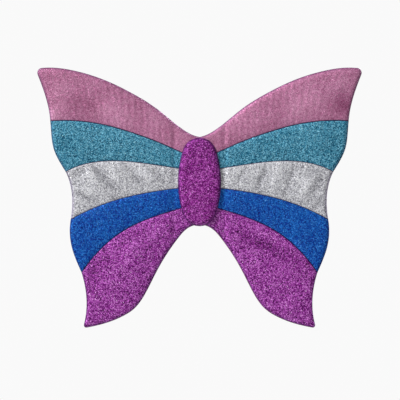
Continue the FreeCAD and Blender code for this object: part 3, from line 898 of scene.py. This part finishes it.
# The splay comes in over SPLAY_EASE_MM on either side of the swing's pivot.
SPLAY_EASE_MM = 4.5
RIB_MM = 1.25
RUNG_MM = 0.9
BAND_THICK_MM = (0.36, 0.08)
BAND_COLUMNS = 43


def strap_path(side_name, side):
    """The band's middle line and its width directions, from tab to tab."""
    low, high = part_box(side_name + "_arm_strap")
    tab_low, tab_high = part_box(side_name + "_strap_tabs")
    pivot = next(j for j in frame["joints"] if j["name"] == side_name + "_strap_swing")["pos_m"]
    half_band = (tab_high.x - tab_low.x) / 2
    reach = (high.y - pivot[1] - half_band * math.sin(STRAP_SPLAY)) / math.cos(STRAP_SPLAY)
    start_y = (tab_low.y + tab_high.y) / 2
    ahead = pivot[1] - start_y
    half = STRAP_HALF_MM * MM
    top, bottom = high.z - half, low.z + half
    nose_z = -STRAP_SAG_MM * MM
    turn = TURN_MM * MM
    tab_length = TAB_LENGTH_MM * MM
    run = [(0.0, top - tab_length), (0.0, top - turn - 3 * MM)]
    quarter = np.linspace(0, 90, 60)
    for y, z, wide, tall, first, step in (
        (turn, top - turn, turn, turn, -90, 6),
        (ahead, nose_z, reach - half, top - nose_z, 0, 1),
        (ahead, nose_z, reach - half, nose_z - bottom, 90, 1),
        (turn, bottom + turn, turn, turn, 180, 6),
    ):
        turns = np.radians(first + quarter[::step])
        run += [(y + wide * math.sin(a), z + tall * math.cos(a)) for a in turns]
    run += [(0.0, bottom + turn + 3 * MM), (0.0, bottom + tab_length)]
    run = np.array(run)
    count = int(arc_lengths(run)[-1] / (1.35 * MM))
    run = along(run, np.linspace(0, 1, count))
    for _ in range(2):
        run[1:-1] = (run[:-2] + 2 * run[1:-1] + run[2:]) / 4
    steps = np.linspace(0, 0.12, 1201)
    ease = SPLAY_EASE_MM * MM
    share = np.clip((steps - ahead + ease) / (2 * ease), 0, 1)
    heading = STRAP_SPLAY * share * share * (3 - 2 * share)
    out = np.concatenate([[0], np.cumsum(np.sin(heading))[:-1]]) * (steps[1] - steps[0])
    away = np.concatenate([[0], np.cumsum(np.cos(heading))[:-1]]) * (steps[1] - steps[0])
    turned = np.interp(run[:, 0], steps, heading)
    x = pivot[0] + side * np.interp(run[:, 0], steps, out)
    y = start_y + np.interp(run[:, 0], steps, away)
    path = np.stack([x, y, run[:, 1]], -1)
    across = np.stack([np.cos(turned), -side * np.sin(turned), np.zeros(count)], -1)
    return path, across, half_band


def strap_piece(side_name, side, material):
    """Ribbed elastic, sewn flat at both ends and looped out between them."""
    path, across, half_band = strap_path(side_name, side)
    tangent = unit(np.gradient(path, axis=0))
    s = arc_lengths(path)
    share = s / s[-1]
    ease = np.clip(np.minimum(share, 1 - share) / 0.2, 0, 1) ** 2
    roll = ease * np.radians(5 * np.sin(2 * math.pi * (share * 1.3 + 0.2 * side)))
    face = unit(np.cross(tangent, across))
    wide = across * np.cos(roll)[:, None] + face * np.sin(roll)[:, None]
    face = np.cross(tangent, wide)
    wander = ease * 0.7 * MM * np.sin(2 * math.pi * (share * 2.1 + 0.1))
    path = path + wide * wander[:, None]
    half = half_band / MM - 0.12
    a = np.linspace(-1, 1, BAND_COLUMNS)
    thick, ribbed = BAND_THICK_MM
    rib = thick + ribbed * np.cos(2 * math.pi * a * half / RIB_MM)
    upper = np.stack([a * half, rib * (1 - np.abs(a) ** 10) ** 0.5], -1)
    section = np.vstack([upper, upper[-2:0:-1] * (1, -1)])
    width = 1 + 0.012 * np.sin(s / (7 * MM))
    rings = path[:, None] + wide[:, None] * (section[None, :, 0] * width[:, None])[..., None] * MM
    rings += face[:, None] * section[None, :, 1, None] * MM
    around = len(section)
    points = rings.reshape(-1, 3)
    faces = tube_faces(around, len(path))
    tape = [np.repeat(s / MM, around), np.tile(section[:, 0], len(path)), np.zeros(len(points))]
    return new_piece(
        side_name + "_strap_elastic", points, faces, material, tape=np.stack(tape, -1))


LABEL_GRID = (15, 13)
LABEL_CURL_MM = 2.3
LABEL_RIPPLE_MM = 0.35
LABEL_THICK_MM = 0.28


def label_piece(material):
    """A blank satin label, its loose end curling away from the backing."""
    low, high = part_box("care_label")
    columns, rows = LABEL_GRID
    x, z = np.meshgrid(
        np.linspace(low.x - 0.8 * MM, high.x, columns), np.linspace(high.z, low.z, rows),
        indexing="ij")
    out = np.clip((x - low.x) / (high.x - low.x), 0, 1)
    lift = LABEL_CURL_MM * out ** 2 + LABEL_RIPPLE_MM * out * np.sin(z / (2.6 * MM) + 0.7)
    y = (low.y + high.y) / 2 + 0.1 * MM + np.maximum(lift, 0) * MM
    points = np.stack([x, y, z], -1).reshape(-1, 3)
    faces = grid_faces(columns, rows)[:, ::-1]
    piece = new_piece("care_label_satin", points, faces, material)
    thick = piece.modifiers.new("thickness", "SOLIDIFY")
    thick.thickness = LABEL_THICK_MM * MM
    thick.offset = 0
    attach(piece, "root")
    return piece


# Materials

class Look:
    """A material and short ways to add nodes to it; inputs are values or sockets."""

    def __init__(self, name, roughness=0.5, metallic=0.0, sheen=0.0):
        self.material = bpy.data.materials.new(name)
        self.material.use_nodes = True
        self.tree = self.material.node_tree
        self.shader = self.tree.nodes["Principled BSDF"]
        self.inputs = self.shader.inputs
        self.give(self.inputs["Roughness"], roughness)
        self.give(self.inputs["Metallic"], metallic)
        self.give(self.inputs["Sheen Weight"], sheen)

    def give(self, socket, value):
        if isinstance(value, bpy.types.NodeSocket):
            self.tree.links.new(value, socket)
        else:
            socket.default_value = value

    def add(self, kind, inputs, **settings):
        node = self.tree.nodes.new(kind)
        for key, value in settings.items():
            setattr(node, key, value)
        for key, value in inputs.items():
            self.give(node.inputs[key], value)
        return node

    def show(self, surface):
        self.give(self.tree.nodes["Material Output"].inputs["Surface"], surface)

    def scalar(self, operation, *values, clamp=False):
        inputs = dict(enumerate(values))
        return self.add("ShaderNodeMath", inputs, operation=operation, use_clamp=clamp).outputs[0]

    def vector(self, operation, *values):
        inputs = dict(enumerate(values))
        return self.add("ShaderNodeVectorMath", inputs, operation=operation).outputs[0]

    def attribute(self, name, output="Fac"):
        return self.add("ShaderNodeAttribute", {}, attribute_name=name).outputs[output]

    def place(self):
        """Where each point of a piece is at rest."""
        return self.attribute("rest_place", "Vector")

    def noise(self, place, size_mm, detail, distortion=0.0):
        inputs = {"Vector": place, "Scale": 1 / (size_mm * MM), "Detail": detail}
        inputs["Distortion"] = distortion
        return self.add("ShaderNodeTexNoise", inputs).outputs["Fac"]

    def flakes(self, place, size_mm):
        """A random colour for each flake, and its three channels."""
        inputs = {"Vector": place, "Scale": 1 / (size_mm * MM)}
        colour = self.add("ShaderNodeTexVoronoi", inputs).outputs["Color"]
        return colour, self.add("ShaderNodeSeparateColor", {"Color": colour}).outputs

    def ramp(self, value, *stops):
        """A grey ramp: (place, grey) pairs."""
        node = self.add("ShaderNodeValToRGB", {0: value})
        elements = node.color_ramp.elements
        while len(elements) < len(stops):
            elements.new(0.5)
        for element, (place, grey) in zip(elements, stops):
            element.position = place
            element.color = (grey, grey, grey, 1)
        return node.outputs[0]

    def mix(self, share, first, second, blend="MIX"):
        colours = [v + (1.0,) if isinstance(v, tuple) else v for v in (first, second)]
        inputs = {0: share, 6: colours[0], 7: colours[1]}
        return self.add("ShaderNodeMix", inputs, data_type="RGBA", blend_type=blend).outputs[2]

    def bump(self, height, strength, deep_mm):
        inputs = {"Height": height, "Strength": strength, "Distance": deep_mm * MM}
        self.give(self.inputs["Normal"], self.add("ShaderNodeBump", inputs).outputs[0])


def shown(red, green, blue):
    """An everyday 0 to 255 colour on a scale of 0 to 1, not yet linear."""
    return (red / 255, green / 255, blue / 255)


def linear(*colour):
    """An everyday 0 to 255 colour as the shader's linear one."""
    return tuple(c / 12.92 if c <= 0.04045 else ((c + 0.055) / 1.055) ** 2.4 for c in shown(*colour))


# Painted shade: levels of 255 that a crease darkens the colour by, per mm of its depth; ridges get
# painted light.
CREASE_SHADE = 19
# Painted shade where the cloth turns away at the rim and on the turned hem behind it.
RIM_PAINTED_SHADE = (0.58, 0.52, 0.66)
WHITE = (1.0, 1.0, 1.0)
HALF = (0.5, 0.5, 0.5)


def glitter(name, colour, deep, grain, flake_mm=1.05, seam=(14, 10, 40), line=0.8):
    """Cloth covered in glitter: flakes of uneven brightness, each tilted its own way.

    Colours are everyday 0 to 255 ones, and grain is how far flakes differ on that scale.
    """
    look = Look(name, roughness=0.42, metallic=0.3)
    look.give(look.inputs["Specular IOR Level"], 0.15)
    place = look.place()
    flakes, big = look.flakes(place, flake_mm)
    fine, small = look.flakes(place, 0.6 * flake_mm)
    clumps = look.noise(place, 4, 2.0)
    cloudy = look.ramp(look.noise(place, 34, 3.0), (0.35, 0.0), (0.65, 1.0))
    # Painted glints: the palest few flakes are made whiter in the colour, as if catching the light.
    glint = look.ramp(big[1], (0.93, 0.0), (0.99, 1.0))
    grain = grain / 255
    level = -0.86 * grain
    for source, share in ((big[0], 1), (small[1], 0.6), (clumps, 0.12), (glint, 0.45)):
        level = look.scalar("MULTIPLY_ADD", source, share * grain, level)
    # Painted highlights lighten the colour in the pale spots; the deeper spots darken its tone.
    level = look.scalar("ADD", level, look.attribute("tint"))
    # Painted shade in the creases and painted light on the ridges, from the crease depth.
    level = look.scalar("MULTIPLY_ADD", look.attribute("crease"), -CREASE_SHADE / 255, level)
    level = look.add("ShaderNodeCombineXYZ", {"X": level, "Y": level, "Z": level}).outputs[0]
    base = look.vector("ADD", look.mix(cloudy, shown(*deep), shown(*colour)), level)
    # Painted shade towards the rim, darkest on the turned hem.
    rim = look.scalar("DIVIDE", look.attribute("rim_gap"), 6.0, clamp=True)
    rim = look.ramp(rim, (0.0, 0.0), (0.2, 0.5), (0.45, 0.87), (0.9, 1.0))
    base = look.mix(1.0, base, look.mix(rim, RIM_PAINTED_SHADE, WHITE), "MULTIPLY")
    near = look.scalar("DIVIDE", look.attribute("seam_gap"), 2.0, clamp=True)
    near = look.ramp(near, (0.18, 1.0), (0.46, 0.0))
    base = look.mix(look.scalar("MULTIPLY", near, line), base, shown(*seam))
    base = look.vector("MINIMUM", base, (0.97, 0.97, 0.97))
    base = look.vector("MAXIMUM", base, (0.005, 0.005, 0.005))
    look.give(
        look.inputs["Base Color"],
        look.add("ShaderNodeGamma", {"Color": base, "Gamma": 2.2}).outputs[0])
    look.give(look.inputs["Roughness"], look.scalar("MULTIPLY_ADD", big[2], 0.3, 0.3))
    normal = look.add("ShaderNodeNewGeometry", {}).outputs["Normal"]
    for tilt, amount in ((flakes, 0.5), (fine, 0.3)):
        tilt = look.vector("MULTIPLY", look.vector("SUBTRACT", tilt, HALF), (amount,) * 3)
        normal = look.vector("ADD", normal, tilt)
    look.give(look.inputs["Normal"], look.vector("NORMALIZE", normal))
    return look.material


def satin(name, colour, shade):
    """Smooth woven satin: fine threads one way, a soft broken sheen."""
    look = Look(name, roughness=0.38, sheen=0.25)
    place = look.place()
    threads = look.add("ShaderNodeMapping", {"Vector": place, "Scale": (2600, 900, 500)})
    weave = look.noise(threads.outputs[0], 1 / MM, 2.0)
    base = look.mix(look.noise(place, 40, 3.0), colour, shade)
    base = look.mix(1.0, base, look.ramp(weave, (0.3, 0.86), (0.7, 1.0)), "MULTIPLY")
    look.give(look.inputs["Base Color"], base)
    look.give(look.inputs["Roughness"], look.scalar("MULTIPLY_ADD", weave, 0.2, 0.3))
    look.bump(weave, 0.25, 0.1)
    return look.material


def felt(name, colour, shade):
    """Matted fibres: uneven tone and a soft nap."""
    look = Look(name, roughness=0.95, sheen=0.5)
    fibres = look.noise(look.place(), 0.9, 5.0, distortion=1.5)
    base = look.mix(look.ramp(fibres, (0.35, 0.0), (0.68, 1.0)), colour, shade)
    look.give(look.inputs["Base Color"], base)
    look.bump(fibres, 0.6, 0.3)
    return look.material


def elastic(name, colour, shade):
    """Woven elastic: ribs along the tape, fine rungs across it."""
    look = Look(name, roughness=0.8, sheen=0.3)
    tape = look.add("ShaderNodeSeparateXYZ", {"Vector": look.attribute("tape", "Vector")}).outputs
    ribs = look.scalar("SINE", look.scalar("MULTIPLY", tape[1], 2 * math.pi / RIB_MM))
    rungs = look.scalar("SINE", look.scalar("MULTIPLY", tape[0], 2 * math.pi / RUNG_MM))
    height = look.scalar("MULTIPLY_ADD", rungs, 0.35, ribs)
    # Painted shade: the grooves between ribs and rungs are coloured darker, on top of the bump.
    tone = look.scalar("MULTIPLY_ADD", height, 0.3, 0.55, clamp=True)
    look.give(look.inputs["Base Color"], look.mix(tone, shade, colour))
    look.bump(height, 0.5, 0.15)
    return look.material


def thread(name, colour, shade):
    """Twisted sewing thread."""
    look = Look(name, roughness=0.6, sheen=0.2)
    strands = look.noise(look.place(), 0.35, 2.0)
    look.give(look.inputs["Base Color"], look.mix(strands, shade, colour))
    return look.material


def cad_material(name, colour, roughness, metallic, grain_mm):
    """For CAD nodes, which have no rest place of their own: grain in object space."""
    look = Look(name, roughness=roughness, metallic=metallic)
    place = look.add("ShaderNodeTexCoord", {}).outputs["Object"]
    grain = look.noise(place, grain_mm, 4.0)
    darker = tuple(0.7 * c for c in colour)
    look.give(look.inputs["Base Color"], look.mix(grain, darker, colour))
    look.bump(grain, 0.15, 0.05)
    return look.material


# A glitter colour's channel may start below 0, because the grain adds to it.
GLITTER = {
    "pink": glitter("pink_glitter", (174, 114, 147), (164, 104, 136), 60),
    "teal": glitter("teal_glitter", (60, 127, 153), (55, 121, 147), 136),
    "silver": glitter("silver_glitter", (180, 180, 186), (171, 171, 177), 140, seam=(96, 94, 108)),
    "blue": glitter("blue_glitter", (-12, 75, 158), (-16, 69, 152), 108),
    "purple": glitter("purple_glitter", (138, 47, 141), (129, 40, 132), 168),
    "body": glitter("body_glitter", (129, 34, 129), (120, 27, 120), 150, flake_mm=1.15),
}
SATIN = satin("backing_satin", linear(214, 152, 184), linear(198, 134, 168))
FELT = felt("patch_felt", linear(150, 78, 150), linear(110, 50, 116))
ELASTIC = elastic("strap_elastic", linear(212, 209, 213), linear(150, 146, 158))
TACK_THREAD = thread("tack_thread", linear(172, 92, 160), linear(120, 56, 116))
LABEL = satin("label_satin", linear(246, 242, 246), linear(226, 220, 228))
FIBRE = felt("filling_fibre", linear(240, 238, 236), linear(214, 212, 210))
STEEL = cad_material("steel_wire", linear(178, 180, 184), 0.32, 1.0, 0.8)
BRASS = cad_material("ferrule_brass", linear(200, 168, 104), 0.35, 1.0, 0.8)
PURPLE_THREAD = thread("purple_thread", linear(212, 158, 212), linear(160, 104, 162))


# Wings

# For Relief: whether the seams hold the cloth, each stripe's slack, pressure and rise.
FRONT_CLOTH = (True, (0.006, 0.007, 0.014, 0.007, 0.008), 1.2, 2.0)
BACK_CLOTH = (False, (0.012,) * 5, 0.6, 1.8)
HEM_ALLOWANCE_MM = 6.0


def cut_size(patch, allowance):
    """The smallest rectangle a grid of flat cloth is cut from, and the cloth's area."""
    flat = patch.reshape(-1, 2)
    sizes = []
    for turn in np.radians(range(0, 90, 3)):
        axes = ((math.cos(turn), math.sin(turn)), (-math.sin(turn), math.cos(turn)))
        sizes.append([float(np.ptp(flat @ np.array(axis))) + 2 * allowance for axis in axes])
    best = min(sizes, key=lambda size: size[0] * size[1])
    a = patch[1:, 1:] - patch[:-1, :-1]
    b = patch[1:, :-1] - patch[:-1, 1:]
    area = float(np.abs(a[..., 0] * b[..., 1] - a[..., 1] * b[..., 0]).sum() / 2)
    edge = np.concatenate([patch[:, 0], patch[-1], patch[::-1, -1]])
    area += float(arc_lengths(edge)[-1]) * allowance
    return best, min(area, best[0] * best[1])


for side_name, side in SIDES:
    outline = WingOutline(side_name, side)
    wing = side_name + "_wing"
    front = Relief(outline, *FRONT_CLOTH)
    behind = Relief(outline, *BACK_CLOTH)
    even = np.linspace(0, 2, 60)
    flats = [outline.patch(k, even, even_rows(12)) for k in range(len(STRIPES))]

    filling = wadding_piece(side_name, side, outline, front, FIBRE)
    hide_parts(wing + "_wadding", "centre_wadding")
    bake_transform(filling)

    for index, colour in enumerate(STRIPES):
        piece = stripe_piece(side_name, side, index, outline, front, GLITTER[colour])
        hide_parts("%s_%s_stripe" % (side_name, colour), colour + "_stripe_centre")
        size, area = cut_size(flats[index], HEM_ALLOWANCE_MM * MM)
        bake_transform(piece)

    piece = backing_piece(side_name, side, outline, behind, SATIN)
    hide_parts(wing + "_backing", "centre_backing")
    size, area = cut_size(np.concatenate(flats, axis=1), HEM_ALLOWANCE_MM * MM)
    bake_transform(piece)


# Body, patch, straps and label

cover = body_piece("body_cover_cloth", 0.0, BODY_RISE_MM, GLITTER["body"], True)
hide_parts("body_cover")
stuffing = body_piece("body_stuffing_fibre", 1.6, BODY_RISE_MM - 1.6, FIBRE, False)
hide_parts("body_stuffing")

patch = patch_piece(FELT)
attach(patch, "root")
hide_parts("back_patch")
low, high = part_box("back_patch")
patch_stitches(PURPLE_THREAD)

for side_name, side in SIDES:
    strap = strap_piece(side_name, side, ELASTIC)
    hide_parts(side_name + "_arm_strap", side_name + "_strap_tabs")
    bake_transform(strap)

tacks = tack_stitches(TACK_THREAD)
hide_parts("strap_tacks")

label = label_piece(LABEL)
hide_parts("care_label")
low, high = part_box("care_label")

for node, material in (
    ("spine_board", cad_material("board", linear(196, 170, 130), 0.85, 0.0, 1.5)),
    ("left_wing_wire", STEEL), ("right_wing_wire", STEEL),
    ("left_wire_ferrule", BRASS), ("right_wire_ferrule", BRASS),
):
    for slot in frame["nodes"][node].material_slots:
        slot.material = material


# Stage, light and camera

PALE = 0.95
PAPER_GREY = 0.5
FLOOR_Z = -0.95
FLOOR_RADIUS = 2.6
ROOM_RADIUS = 6
WORLD_LIGHT = 0.36
SUN_SOFTNESS = math.radians(12)

# The floor fades out towards its edge, so that no horizon shows.
paper = Look("paper", roughness=0.9)
paper.give(paper.inputs["Base Color"], (PAPER_GREY, PAPER_GREY, PAPER_GREY, 1))
away = paper.add("ShaderNodeTexCoord", {}).outputs["Object"]
away = paper.add("ShaderNodeVectorMath", {0: away}, operation="LENGTH").outputs["Value"]
reach = {"Value": away, "From Min": 0.45 * FLOOR_RADIUS, "From Max": FLOOR_RADIUS}
fade = paper.add("ShaderNodeMapRange", reach, interpolation_type="SMOOTHSTEP").outputs[0]
clear = paper.add("ShaderNodeBsdfTransparent", {}).outputs[0]
paper.show(paper.add("ShaderNodeMixShader", {0: fade, 1: paper.shader.outputs[0], 2: clear}).outputs[0])
turns = np.radians(range(0, 360, 5))
circle = [(FLOOR_RADIUS * math.cos(a), FLOOR_RADIUS * math.sin(a), FLOOR_Z) for a in turns]
new_piece("floor", circle, [range(len(circle))], paper.material)

world = bpy.data.worlds.new("studio")
world.use_nodes = True
background = world.node_tree.nodes["Background"].inputs
background["Color"].default_value = (1, 1, 1, 1)
background["Strength"].default_value = WORLD_LIGHT
scene.world = world

# A pale room that only the camera sees.
glow = Look("backdrop")
light = {"Color": (1, 1, 1, 1), "Strength": PALE}
glow.show(glow.add("ShaderNodeEmission", light).outputs[0])
room = bmesh.new()
bmesh.ops.create_icosphere(room, subdivisions=4, radius=ROOM_RADIUS)
corners = [tuple(v.co) for v in room.verts]
walls = [[v.index for v in face.verts] for face in room.faces]
room.free()
backdrop = new_piece("backdrop", corners, walls, glow.material)
for use in ("diffuse", "glossy", "transmission", "shadow"):
    setattr(backdrop, "visible_" + use, False)


def soft_sun(name, toward, strength):
    data = bpy.data.lights.new(name, "SUN")
    data.energy = strength
    data.angle = SUN_SOFTNESS
    lamp = bpy.data.objects.new(name, data)
    lamp.rotation_euler = Vector(toward).to_track_quat("-Z", "Y").to_euler()
    scene.collection.objects.link(lamp)


soft_sun("key", (1.1, 0.85, -1.1), 4.1)
soft_sun("back_key", (-1.25, -0.75, -1.1), 3.7)

camera_data = bpy.data.cameras.new("camera")
camera = bpy.data.objects.new("camera", camera_data)
scene.collection.objects.link(camera)
scene.camera = camera
# The view's width at the glitter side, and how far the wings' middle is off its centre.
VIEW_WIDTH = 0.5538
CAMERA_AWAY = 1.6
OFF_CENTRE_MM = (0.7, -3.5)
low, high = CAD_BOX
camera.location = (low + high) / 2 + Vector((OFF_CENTRE_MM[0], 0, OFF_CENTRE_MM[1])) * MM
camera.location.y = FRONT_Y - CAMERA_AWAY
camera.rotation_euler = (math.radians(90), 0, 0)
camera_data.sensor_width = 36
camera_data.lens = 36 * CAMERA_AWAY / VIEW_WIDTH
scene.view_settings.view_transform = "Standard"
